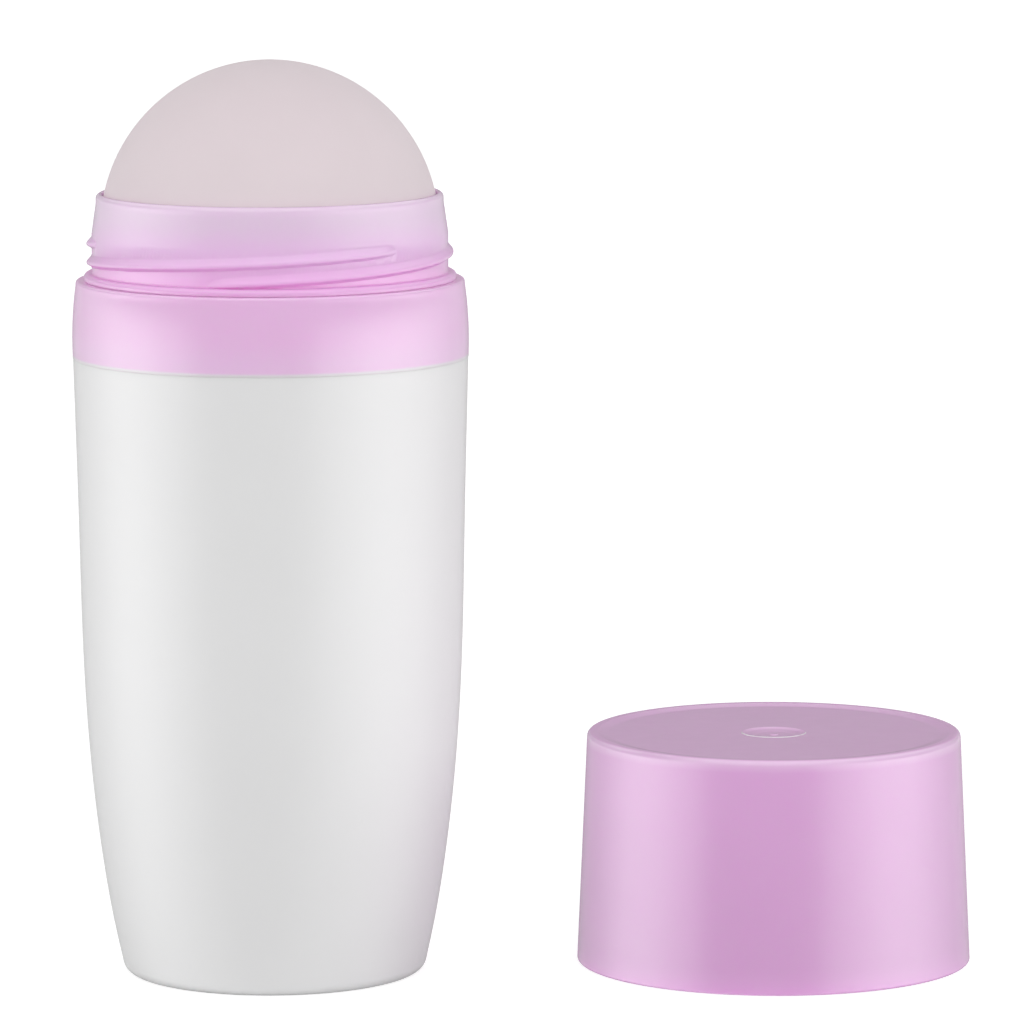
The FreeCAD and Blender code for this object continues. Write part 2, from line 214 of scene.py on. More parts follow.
def turned(name, spots, axis):
    """A turned solid: the outline spun round the axis, with its seam and poles closed and faces outwards."""
    piece = draw_outline(name, spots, axis)
    bpy.ops.mesh.select_all(action="SELECT")
    bpy.ops.mesh.spin(steps=AROUND, angle=math.tau, center=axis, axis=Z_AXIS, use_auto_merge=True)
    bpy.ops.mesh.select_all(action="SELECT")
    bpy.ops.mesh.remove_doubles(threshold=MERGE_GAP)
    bpy.ops.mesh.normals_make_consistent(inside=False)
    bpy.ops.object.mode_set(mode="OBJECT")
    return piece


def smooth(piece):
    """Smooth shading with sharp creases, and the place applied."""
    make_active(piece)
    bpy.ops.object.shade_smooth_by_angle(angle=CREASE_ANGLE)
    bpy.ops.object.transform_apply(location=True, rotation=True, scale=True)


# ---- The two threads ----

# Angles round the axis are in degrees
THREAD_STARTS = 3
THREAD_FIRST_ANGLE = 131.0
THREAD_SWEEP = 186.0
THREAD_RUNOUT = 12.0
THREAD_STEP = 360.0 / AROUND
CAP_THREAD_SWEEP = 110.0

# Heights of the first ridge's middle where it starts: above the collar's top, and above the cap's rim
THREAD_FIRST_RISE = 1.17 * MM
CAP_THREAD_FIRST_RISE = 2.35 * MM

# How deep a ridge sinks into its root, and the share of its height that it keeps at its ends
RIDGE_SINK = 0.12 * MM
RIDGE_END_SHARE = 0.08

# A ridge's section, as shares of its height outwards and of half its root width upwards
RIDGE_SHARES = (
    (0.00, -0.92), (0.10, -0.80), (0.40, -0.66), (0.72, -0.53), (0.90, -0.44), (0.98, -0.33),
    (1.00, -0.19), (0.98, -0.04), (0.90, 0.08), (0.72, 0.24), (0.40, 0.52), (0.10, 0.80), (0.00, 0.94),
)
RIDGE_HALF_WIDTH = 0.72 * MM


def swelling(step, steps):
    """The share of its full height that a ridge has at a step: it swells over the runout at both ends."""
    along = min(1, min(step, steps - step) * THREAD_STEP / THREAD_RUNOUT)
    return RIDGE_END_SHARE + (1 - RIDGE_END_SHARE) * math.sin(math.pi / 2 * along)


def thread_ridge(name, axis, root, crest, first_angle, sweep, first_height, lead):
    """One helical ridge that swells from its root at both ends, extruded section by section round the axis."""
    height = crest - root
    side = math.copysign(1, height)
    section = [(root - side * RIDGE_SINK, first_height - RIDGE_HALF_WIDTH)]
    section += [
        (root + height * out_share, first_height + RIDGE_HALF_WIDTH * up_share)
        for out_share, up_share in RIDGE_SHARES
    ]
    section.append((root - side * RIDGE_SINK, first_height + RIDGE_HALF_WIDTH))
    ridge = draw_outline(name, section, axis)
    bpy.ops.mesh.select_all(action="SELECT")
    bpy.ops.mesh.edge_face_add()
    steps = round(sweep / THREAD_STEP)
    swell = [swelling(step, steps) for step in range(steps + 1)]
    root_line = axis + Vector((root - side * RIDGE_SINK, 0, first_height))
    bpy.ops.transform.resize(value=(swell[0], 1, 1), center_override=root_line)
    turn = Matrix.Rotation(math.radians(THREAD_STEP), 3, "Z")
    outwards = Matrix.Identity(3)
    climb = Vector((0, 0, lead * THREAD_STEP / 360))
    for step in range(1, steps + 1):
        bpy.ops.mesh.extrude_region_move(TRANSFORM_OT_translate={"value": climb})
        bpy.ops.transform.rotate(value=-math.radians(THREAD_STEP), orient_axis="Z", center_override=axis)
        root_line = axis + turn @ (root_line - axis) + climb
        outwards = turn @ outwards
        bpy.ops.transform.resize(
            value=(swell[step] / swell[step - 1], 1, 1), orient_type="LOCAL", orient_matrix=outwards,
            orient_matrix_type="LOCAL", center_override=root_line)
    bpy.ops.mesh.select_all(action="SELECT")
    bpy.ops.transform.rotate(value=-math.radians(first_angle), orient_axis="Z", center_override=axis)
    bpy.ops.mesh.normals_make_consistent(inside=False)
    bpy.ops.object.mode_set(mode="OBJECT")
    return ridge


def repeat_round(ridge, axis, count):
    """Copies of a ridge at equal turns round the axis, joined into it."""
    copies = []
    for number in range(1, count):
        make_active(ridge)
        bpy.ops.object.duplicate(linked=False)
        copy = bpy.context.object
        bpy.ops.object.mode_set(mode="EDIT")
        bpy.ops.mesh.select_all(action="SELECT")
        bpy.ops.transform.rotate(value=-math.tau * number / count, orient_axis="Z", center_override=axis)
        bpy.ops.object.mode_set(mode="OBJECT")
        copies.append(copy)
    make_active(ridge)
    for copy in copies:
        copy.select_set(True)
    bpy.ops.object.join()
    return ridge


def weld_on(piece, addition):
    """Unites another closed shape with the piece, and removes the other object."""
    make_active(piece)
    union = piece.modifiers.new("Union", "BOOLEAN")
    union.operation = "UNION"
    union.solver = "EXACT"
    union.object = addition
    bpy.ops.object.modifier_apply(modifier=union.name)
    make_active(addition)
    bpy.ops.object.delete()
    make_active(piece)
    bpy.ops.object.mode_set(mode="EDIT")
    bpy.ops.mesh.select_all(action="SELECT")
    bpy.ops.mesh.remove_doubles(threshold=MERGE_GAP)
    bpy.ops.mesh.dissolve_degenerate(threshold=MERGE_GAP)
    bpy.ops.object.mode_set(mode="OBJECT")


# ---- Finishes ----

# Painted highlights: paler pinks at the collar's foot, at the cap's upper edge and on the ring round its gate mark
FOOT_HIGHLIGHT = (0.94, 0.83, 0.915)
ABOVE_FOOT_HIGHLIGHT = (1.0, 0.62, 0.89)
RIM_HIGHLIGHT = (0.88, 0.60, 0.86)
EDGE_FADE = 0.15 * MM
RING_HIGHLIGHT = (0.98, 0.84, 0.96)
GATE_RING = 3.42 * MM
RING_WIDTH = 0.06 * MM
RING_HEIGHT = 0.08 * MM

# The painted highlight on the ring reaches inwards and outwards from its radius, and fades at both sides
RING_INWARDS = 0.04 * MM
RING_OUTWARDS = 0.01 * MM
RING_FADE = 0.03 * MM

# Tones of the soft patches in the pinks, and the grain of uneven polish
PATCH_TONES = (0.992, 1.008)
POLISH_GRAIN = 2.2 * MM

# Noise mostly lies between these values
NOISE_LOW, NOISE_HIGH = 0.3, 0.7


def add_node(tree, kind, inputs=None, **settings):
    """A shader node with its settings and input values."""
    node = tree.nodes.new(kind)
    for name, value in settings.items():
        setattr(node, name, value)
    for name, value in (inputs or {}).items():
        node.inputs[name].default_value = value
    return node


def new_finish(name, sockets):
    """A material with a Principled shader whose uniform sockets are set directly, and its object coordinates."""
    finish = bpy.data.materials.new(name)
    finish.use_nodes = True
    tree = finish.node_tree
    tree.nodes.clear()
    output = add_node(tree, "ShaderNodeOutputMaterial")
    shader = add_node(tree, "ShaderNodeBsdfPrincipled", sockets)
    tree.links.new(shader.outputs["BSDF"], output.inputs["Surface"])
    places = add_node(tree, "ShaderNodeTexCoord").outputs["Object"]
    return finish, tree, shader, places


def feed(tree, value, socket):
    """Links a socket to an input, or sets the input to a plain value."""
    if isinstance(value, bpy.types.NodeSocket):
        tree.links.new(value, socket)
    else:
        socket.default_value = value


def noise(tree, places, grain, detail):
    """Noise whose features are about one grain across."""
    mapping = add_node(tree, "ShaderNodeMapping", {"Scale": [1 / grain] * 3})
    texture = add_node(tree, "ShaderNodeTexNoise", {"Scale": 1.0, "Detail": detail, "Roughness": 0.5})
    tree.links.new(places, mapping.inputs["Vector"])
    tree.links.new(mapping.outputs["Vector"], texture.inputs["Vector"])
    return texture.outputs["Fac"]


def spread(tree, factor, low, high, smallest=0.0, largest=1.0):
    """The factor, read from smallest to largest, as a value from low to high."""
    ranged = add_node(tree, "ShaderNodeMapRange", {
        "From Min": smallest, "From Max": largest, "To Min": low, "To Max": high})
    tree.links.new(factor, ranged.inputs["Value"])
    return ranged.outputs["Result"]


def times(tree, first, second):
    """The product of a socket and a number or another socket."""
    product = add_node(tree, "ShaderNodeMath", operation="MULTIPLY")
    feed(tree, first, product.inputs[0])
    feed(tree, second, product.inputs[1])
    return product.outputs[0]


def blend_values(tree, factor, first, second):
    """A value between two, which are numbers or sockets, by the factor."""
    mix = add_node(tree, "ShaderNodeMix", data_type="FLOAT")
    tree.links.new(factor, mix.inputs["Factor"])
    feed(tree, first, mix.inputs["A"])
    feed(tree, second, mix.inputs["B"])
    return mix.outputs["Result"]


def blend_colours(tree, factor, first, second):
    """A colour between two, which are plain colours or sockets, by the factor."""
    mix = add_node(tree, "ShaderNodeMix", data_type="RGBA")
    tree.links.new(factor, mix.inputs["Factor"])
    for colour, socket in ((first, mix.inputs[6]), (second, mix.inputs[7])):
        feed(tree, colour if isinstance(colour, bpy.types.NodeSocket) else (*colour, 1), socket)
    return mix.outputs[2]


def toned(colour, tone):
    """A colour made lighter or darker by a tone."""
    return tuple(min(1.0, part * tone) for part in colour)


def patchy(tree, places, grain):
    """Soft patches, from 0 to 1."""
    return spread(tree, noise(tree, places, grain, detail=2.0), 0, 1, NOISE_LOW, NOISE_HIGH)


def mottled(tree, places, colour, swing):
    """A colour with patches that are lighter or darker by the swing."""
    patches = patchy(tree, places, grain=9 * MM)
    return blend_colours(tree, patches, toned(colour, 1 - swing), toned(colour, 1 + swing))


def dress(tree, shader, places, colour, roughness, swing, wave, wave_height):
    """A colour socket, uneven polish and the faint waviness of a moulded skin, wired into the shader."""
    tree.links.new(colour, shader.inputs["Base Color"])
    uneven = noise(tree, places, POLISH_GRAIN, detail=4.0)
    polish = spread(tree, uneven, roughness - swing, roughness + swing, NOISE_LOW, NOISE_HIGH)
    tree.links.new(polish, shader.inputs["Roughness"])
    bump = add_node(tree, "ShaderNodeBump", {"Strength": 1.0, "Distance": wave_height})
    tree.links.new(noise(tree, places, wave, detail=2.0), bump.inputs["Height"])
    tree.links.new(bump.outputs["Normal"], shader.inputs["Normal"])


def height_share(tree, places, low, high):
    """0 at the low height and 1 at the high one."""
    parts = add_node(tree, "ShaderNodeSeparateXYZ")
    tree.links.new(places, parts.inputs["Vector"])
    return spread(tree, parts.outputs["Z"], 0, 1, low, high)


def fill_ramp(tree, factor, stops):
    """A ramp that eases through (place, colour) stops as its factor goes from 0 to 1."""
    ramp = add_node(tree, "ShaderNodeValToRGB")
    ramp.color_ramp.interpolation = "EASE"
    tree.links.new(factor, ramp.inputs["Fac"])
    elements = ramp.color_ramp.elements
    elements[0].position, elements[-1].position = stops[0][0], stops[-1][0]
    for place, _ in stops[1:-1]:
        elements.new(place)
    for element, (_, colour) in zip(elements, stops):
        element.color = (*colour, 1)
    return ramp.outputs["Color"]


def distance_from_axis(tree, places, axis):
    """The distance of each spot from an upright axis."""
    flat = add_node(tree, "ShaderNodeVectorMath", {1: (1, 1, 0)}, operation="MULTIPLY")
    tree.links.new(places, flat.inputs[0])
    reach = add_node(tree, "ShaderNodeVectorMath", {1: axis}, operation="DISTANCE")
    tree.links.new(flat.outputs[0], reach.inputs[0])
    return reach.outputs["Value"]


def on_rim_highlight(tree, places, reach, radius, low, high):
    """Where a highlight is painted: 1 on the round edge at the top of a cap of this radius, fading to 0 inwards and
    down to the low height.
    """
    outer = spread(tree, reach, 0, 1, radius - EDGE_FADE, radius)
    return times(tree, outer, height_share(tree, places, low, high))


def on_ring_highlight(tree, reach, radius):
    """Where a highlight is painted: 1 on the thin ring round a gate mark, and 0 off it."""
    inner, outer = radius - RING_INWARDS, radius + RING_OUTWARDS
    past_inner = spread(tree, reach, 0, 1, inner - RING_FADE, inner)
    before_outer = spread(tree, reach, 1, 0, outer, outer + RING_FADE)
    return times(tree, past_inner, before_outer)


def gloss_white(colour):
    """Glossy opaque white of the blown body."""
    finish, tree, shader, places = new_finish("gloss_white", {
        "IOR": 1.5, "Specular IOR Level": 1.0, "Subsurface Weight": 0.25, "Subsurface Radius": (1.0, 1.0, 1.0),
        "Subsurface Scale": 1.2 * MM})
    dress(tree, shader, places, mottled(tree, places, colour, 0.004), roughness=0.24, swing=0.01,
          wave=7 * MM, wave_height=0.002 * MM)
    return finish


def translucent_pink(name, shades, scatter, ior, edge=None):
    """Glossy, slightly translucent pink in (height, colour) shades, with painted highlights at a cap's upper edge and
    on the ring round its gate mark.
    """
    finish, tree, shader, places = new_finish(name, {
        "IOR": ior, "Subsurface Weight": 1.0, "Subsurface Radius": (1.0, 0.9, 1.0),
        "Subsurface Scale": scatter, "Specular IOR Level": 1.0})
    low, high = shades[0][0], shades[-1][0]
    stops = [((height - low) / (high - low), colour) for height, colour in shades]
    share = height_share(tree, places, low, high)
    duller, brighter = (
        fill_ramp(tree, share, [(place, toned(colour, tone)) for place, colour in stops]) for tone in PATCH_TONES)
    pink = blend_colours(tree, patchy(tree, places, grain=11 * MM), duller, brighter)
    # Painted highlights: a paler band on the cap's upper edge and a paler line on the ring round its gate mark
    if edge:
        axis, *where = edge
        reach = distance_from_axis(tree, places, axis)
        pink = blend_colours(tree, on_rim_highlight(tree, places, reach, *where), pink, RIM_HIGHLIGHT)
        pink = blend_colours(tree, on_ring_highlight(tree, reach, GATE_RING), pink, RING_HIGHLIGHT)
    dress(tree, shader, places, pink, roughness=0.20, swing=0.01, wave=6 * MM, wave_height=0.002 * MM)
    return finish


def frosted(colour):
    """Finely ground, frosted translucent plastic of the ball."""
    finish, tree, shader, places = new_finish("ground_plastic", {
        "IOR": 1.25, "Subsurface Weight": 0.3, "Subsurface Radius": (1.0, 0.95, 1.0),
        "Subsurface Scale": 1.5 * MM})
    dress(tree, shader, places, mottled(tree, places, colour, 0.010), roughness=0.60, swing=0.04,
          wave=0.5 * MM, wave_height=0.004 * MM)
    return finish


def soft_natural(colour):
    """Waxy, uncoloured soft plastic of the seat."""
    finish, tree, shader, places = new_finish("waxy_seat", {
        "IOR": 1.51, "Subsurface Weight": 0.4, "Subsurface Radius": (1.0, 0.95, 0.85),
        "Subsurface Scale": 2.0 * MM})
    dress(tree, shader, places, mottled(tree, places, colour, 0.02), roughness=0.45, swing=0.05,
          wave=3 * MM, wave_height=0.01 * MM)
    return finish


def soft_rubber(colour):
    """Dull soft rubber of the seal."""
    finish, tree, shader, places = new_finish("dull_rubber", {"IOR": 1.52})
    dress(tree, shader, places, mottled(tree, places, colour, 0.08), roughness=0.62, swing=0.06,
          wave=0.4 * MM, wave_height=0.01 * MM)
    return finish


def wear(piece, finish, body, node):
    """Gives a finished piece its material, its body and the node that it stands for."""
    piece.data.materials.clear()
    piece.data.materials.append(finish)
    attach(piece, body)
    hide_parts(node)


# ---- Outlines shared by mating pieces ----

PLUG_SET_IN = 0.45 * MM
FIT_GAP = 0.1 * MM
NECK_WALL = 1.0 * MM
NECK_HEIGHT = 6.8 * MM
SNAP_HALF_WIDTH = 0.5 * MM
PLUG_SNAP_DROP = 3.2 * MM
PLUG_SNAP_REACH = 0.3 * MM
NECK_SNAP_HEIGHT = 3.0 * MM
NECK_SNAP_REACH = 0.25 * MM
BEAD_REACH = 0.85 * MM
BEAD_HEIGHT = 0.77 * MM

# The body's side from foot to shoulder, as shares of its height and of the body's radius
FLANK_SHARES = ((0.000, 0.7750), (0.060, 0.8150), (0.145, 0.8609), (0.290, 0.9174), (0.490, 0.9604),
                (0.740, 0.9797), (1.000, 1.0000))
SLOPE_PASSES = 60
FOOT_LEAN = math.radians(12.0)
SHOULDER_LEAN = math.radians(1.4)


def flank_spots(sizes, inset, foot, top):
    """The body's side as one smooth curve, drawn in by the inset: a cubic with an even bend through its shares."""
    heights = [foot + (top - foot) * up for up, _ in FLANK_SHARES]
    radii = [sizes.body_radius * share - inset for _, share in FLANK_SHARES]
    count = len(heights)
    gaps = [heights[i + 1] - heights[i] for i in range(count - 1)]
    falls = [(radii[i + 1] - radii[i]) / gaps[i] for i in range(count - 1)]
    slopes = [math.tan(FOOT_LEAN)] + falls[1:] + [math.tan(SHOULDER_LEAN)]
    for _ in range(SLOPE_PASSES):
        for i in range(1, count - 1):
            before, after = 1 / gaps[i - 1], 1 / gaps[i]
            pull = 3 * (falls[i - 1] * before + falls[i] * after)
            slopes[i] = (pull - slopes[i - 1] * before - slopes[i + 1] * after) / (2 * (before + after))
    spots = []
    for step in range(FLANK_STEPS + 1):
        height = foot + (top - foot) * step / FLANK_STEPS
        i = max(k for k in range(count - 1) if heights[k] <= height + MERGE_GAP)
        share = (height - heights[i]) / gaps[i]
        radius = (
            radii[i] * (1 + 2 * share) * (1 - share) ** 2
            + slopes[i] * gaps[i] * share * (1 - share) ** 2
            + radii[i + 1] * share ** 2 * (3 - 2 * share)
            + slopes[i + 1] * gaps[i] * share ** 2 * (share - 1)
        )
        spots.append(Vector((radius, height)))
    return spots


# ---- Pieces ----

class ROLLON_OT_body(bpy.types.Operator):
    """Blown white body: flank, recessed foot, shoulder, hidden neck and inside."""

    bl_idname = "rollon.body"
    bl_label = "Bottle body"

    def execute(self, context):
        sizes = context.scene.roll_on_sizes
        foot_height, shoulder_round = 1.1 * MM, 0.02 * MM
        foot_radius = sizes.body_radius * FLANK_SHARES[0][1]
        foot_round = foot_height / (1 - math.sin(FOOT_LEAN))
        plug_radius = sizes.neck_radius - PLUG_SET_IN
        bore = plug_radius + FIT_GAP
        neck = bore + NECK_WALL
        rim = SHOULDER_HEIGHT + NECK_HEIGHT
        bead = SHOULDER_HEIGHT + NECK_SNAP_HEIGHT
        groove = COLLAR_TOP - PLUG_SNAP_DROP
        inner_top = SHOULDER_HEIGHT - sizes.body_wall
        recess, recess_radius, ring_inner = 1.1 * MM, 11.0 * MM, 12.6 * MM
        floor, floor_bend = 2.6 * MM, 2.4 * MM
        mouth_round = 0.25 * MM
        flank = flank_spots(sizes, 0, foot_height, SHOULDER_HEIGHT - shoulder_round)
        inside = flank_spots(sizes, sizes.body_wall, floor + floor_bend, inner_top)
        foot = rounded([
            (0, recess, 0),
            (recess_radius, recess, 0.6 * MM),
            (ring_inner, 0, 0.4 * MM),
            (foot_radius - foot_height * math.tan(FOOT_LEAN), 0, foot_round),
            (*flank[0], 0),
        ])
        shoulder = rounded([
            (*flank[-2], 0),
            (sizes.body_radius, SHOULDER_HEIGHT, shoulder_round),
            (neck, SHOULDER_HEIGHT, 0),
            (neck, bead - SNAP_HALF_WIDTH, 0),
            (neck + NECK_SNAP_REACH, bead, 0),
            (neck, bead + SNAP_HALF_WIDTH, 0),
            (neck, rim, mouth_round),
            (bore, rim, mouth_round),
            (bore, groove + SNAP_HALF_WIDTH, 0),
            (bore + PLUG_SNAP_REACH, groove, 0),
            (bore, groove - SNAP_HALF_WIDTH, 0),
            (bore, inner_top, 0),
            (*inside[-1], 0),
        ])
        spots = foot[:-1] + flank[1:-1] + shoulder[1:-1] + list(reversed(inside))
        spots += rounded([
            (*inside[0], 0),
            (inside[0].x - 1.0 * MM, floor, 1.5 * MM),
            (0, floor, 0),
        ])[1:]
        piece = turned("white_body", spots + [Vector((0, recess))], BOTTLE_AXIS)
        smooth(piece)
        wear(piece, gloss_white(context.scene.roll_on_colours.body), "bottle", "bottle_body")
        return {"FINISHED"}


class ROLLON_OT_collar(bpy.types.Operator):
    """Pink sleeve with a slight belly, between the body and the neck."""

    bl_idname = "rollon.collar"
    bl_label = "Shoulder collar"

    def execute(self, context):
        sizes = context.scene.roll_on_sizes
        plug_radius = sizes.neck_radius - PLUG_SET_IN
        neck = plug_radius + FIT_GAP + NECK_WALL
        bore = neck + FIT_GAP
        ledge = SHOULDER_HEIGHT + NECK_HEIGHT + 0.05 * MM
        bead = SHOULDER_HEIGHT + NECK_SNAP_HEIGHT
        edge_round, foot_round, belly = 0.30 * MM, 0.02 * MM, 0.17 * MM
        side_foot = Vector((sizes.collar_radius, SHOULDER_HEIGHT + edge_round))
        side_top = Vector((sizes.collar_radius - 0.40 * MM, COLLAR_TOP - edge_round))
        shares = [step / COLLAR_STEPS for step in range(COLLAR_STEPS + 1)]
        side = [
            side_foot.lerp(side_top, share) + Vector((4 * belly * share * (1 - share), 0)) for share in shares
        ]
        inside = rounded([
            (*side[-2], 0),
            (side_top.x, COLLAR_TOP, edge_round),
            (plug_radius + FIT_GAP, COLLAR_TOP, 0),
            (plug_radius + FIT_GAP, ledge, 0),
            (bore, ledge, 0),
            (bore, bead + SNAP_HALF_WIDTH, 0),
            (bore + NECK_SNAP_REACH, bead, 0),
            (bore, bead - SNAP_HALF_WIDTH, 0),
            (bore, SHOULDER_HEIGHT, 0),
            (sizes.collar_radius, SHOULDER_HEIGHT, foot_round),
            (*side[1], 0),
        ])
        piece = turned("pink_collar", side[1:-1] + inside[1:], BOTTLE_AXIS)
        smooth(piece)
        colour = context.scene.roll_on_colours.collar
        # Painted highlight: the collar is paler towards its foot, which also lightens the shade along its seam with
        # the body
        edge = SHOULDER_HEIGHT + 0.15 * MM
        shades = (
            (edge, FOOT_HIGHLIGHT), (edge + 0.35 * MM, ABOVE_FOOT_HIGHLIGHT), (edge + 4 * MM, colour), (COLLAR_TOP, colour))
        finish = translucent_pink("collar_pink", shades, scatter=0.6 * MM, ior=1.6)
        wear(piece, finish, "bottle", "shoulder_collar")
        return {"FINISHED"}


class ROLLON_OT_neck(bpy.types.Operator):
    """Threaded neck with the ball's socket and lip, its bead and its plug, and three thread ridges."""

    bl_idname = "rollon.neck"
    bl_label = "Threaded neck"

    def execute(self, context):
        sizes = context.scene.roll_on_sizes
        socket = sizes.ball_diameter / 2 + sizes.running_gap
        root = sizes.neck_radius
        plug = root - PLUG_SET_IN
        plug_bore, plug_foot_bore = plug - 1.0 * MM, plug - 1.7 * MM
        plug_foot = COLLAR_TOP - 7.83 * MM
        ledge = plug_foot + 2.6 * MM
        snap = COLLAR_TOP - PLUG_SNAP_DROP
        lip_round = 0.50 * MM
        lip = BALL_CENTRE.z + sizes.lip_rise
        lip_edge_rise = sizes.lip_rise - 0.55 * MM
        lip_outer = root - 0.46 * MM
        lip_gap = 0.05 * MM
        lip_inner = math.sqrt((sizes.ball_diameter / 2 + lip_gap) ** 2 - lip_edge_rise ** 2)
        cone_foot = lip - 2 * lip_round - 3.2 * MM
        groove = plug_foot + 0.7 * MM
        groove_top, groove_floor = groove + 1.2 * MM, plug + FIT_GAP - 1.04 * MM
        socket_foot_rise = -math.sqrt(socket ** 2 - plug_bore ** 2)
        socket_top_rise = lip_edge_rise - 1.1 * MM
        spots = rounded([
            (lip_inner, BALL_CENTRE.z + lip_edge_rise, 0),
            (lip_inner + 0.12 * MM, lip, 0.10 * MM),
            (lip_outer, lip, lip_round),
            (lip_outer, lip - 2 * lip_round, 0),
            (root, cone_foot, 0),
            (root, COLLAR_TOP + BEAD_HEIGHT, 0.12 * MM),
            (root + BEAD_REACH, COLLAR_TOP + BEAD_HEIGHT, 0.45 * MM),
            (root + BEAD_REACH, COLLAR_TOP, 0.10 * MM),
            (plug, COLLAR_TOP, 0),
            (plug, snap + SNAP_HALF_WIDTH, 0),
            (plug + PLUG_SNAP_REACH, snap, 0),
            (plug, snap - SNAP_HALF_WIDTH, 0),
            (plug, groove_top, 0),
            (groove_floor, groove_top, 0),
            (groove_floor, groove, 0),
            (plug, groove, 0),
            (plug, plug_foot + 0.4 * MM, 0),
            (plug - 0.4 * MM, plug_foot, 0),
            (plug_foot_bore, plug_foot, 0),
            (plug_foot_bore, ledge, 0),
            (plug_bore, ledge, 0),
            (plug_bore, BALL_CENTRE.z + socket_foot_rise, 0),
        ])
        spots += along_ball(socket, socket_foot_rise, socket_top_rise, SOCKET_STEPS)[1:]
        spots += spots[:1]
        piece = turned("threaded_neck", spots, BOTTLE_AXIS)
        ridge = thread_ridge(
            "neck_ridge", BOTTLE_AXIS, root, root + sizes.thread_height, THREAD_FIRST_ANGLE, THREAD_SWEEP,
            COLLAR_TOP + THREAD_FIRST_RISE, sizes.thread_lead)
        weld_on(piece, repeat_round(ridge, BOTTLE_AXIS, THREAD_STARTS))
        smooth(piece)
        colours = context.scene.roll_on_colours
        # Painted light: the neck is paler towards its lip, as light shines through the thin lip
        shades = ((COLLAR_TOP, colours.neck), (lip, colours.neck_lip))
        finish = translucent_pink("neck_pink", shades, scatter=0.6 * MM, ior=1.5)
        wear(piece, finish, "bottle", "ball_housing")
        return {"FINISHED"}


def on_side(spots, side):
    """The spots as they are for side 1, and mirrored in the ball's equator for side -1."""
    return [Vector((spot.x, BALL_CENTRE.z + side * (spot.y - BALL_CENTRE.z))) for spot in spots]


class ROLLON_OT_ball(bpy.types.Operator):
    """Frosted hollow ball: two moulded halves that lap at the equator."""

    bl_idname = "rollon.ball"
    bl_label = "Ball"

    def execute(self, context):
        sizes = context.scene.roll_on_sizes
        outer = sizes.ball_diameter / 2
        inner = outer - sizes.ball_wall
        lap_height, lap_gap = 1.2 * MM, 0.05 * MM
        weld_round = 0.04 * MM
        middle = outer - sizes.ball_wall / 2
        finish = frosted(context.scene.roll_on_colours.ball)
        for name, node, side, lap, lap_rise in (
            ("ball_upper_half", "ball_upper_shell", 1, middle - lap_gap, -lap_height),
            ("ball_lower_half", "ball_lower_shell", -1, middle, lap_height + lap_gap),
        ):
            shell = along_ball(outer, outer, weld_round, BALL_OUTER_STEPS)
            shell += [Vector((outer - weld_round, BALL_CENTRE.z)), Vector((lap, BALL_CENTRE.z))]
            shell += [Vector((lap, BALL_CENTRE.z + lap_rise))]
            shell += along_ball(inner, lap_rise, inner, BALL_INNER_STEPS)
            shell += [Vector((0, BALL_CENTRE.z + outer))]
            piece = turned(name, on_side(shell, side), BOTTLE_AXIS)
            smooth(piece)
            wear(piece, finish, "ball", node)
        return {"FINISHED"}


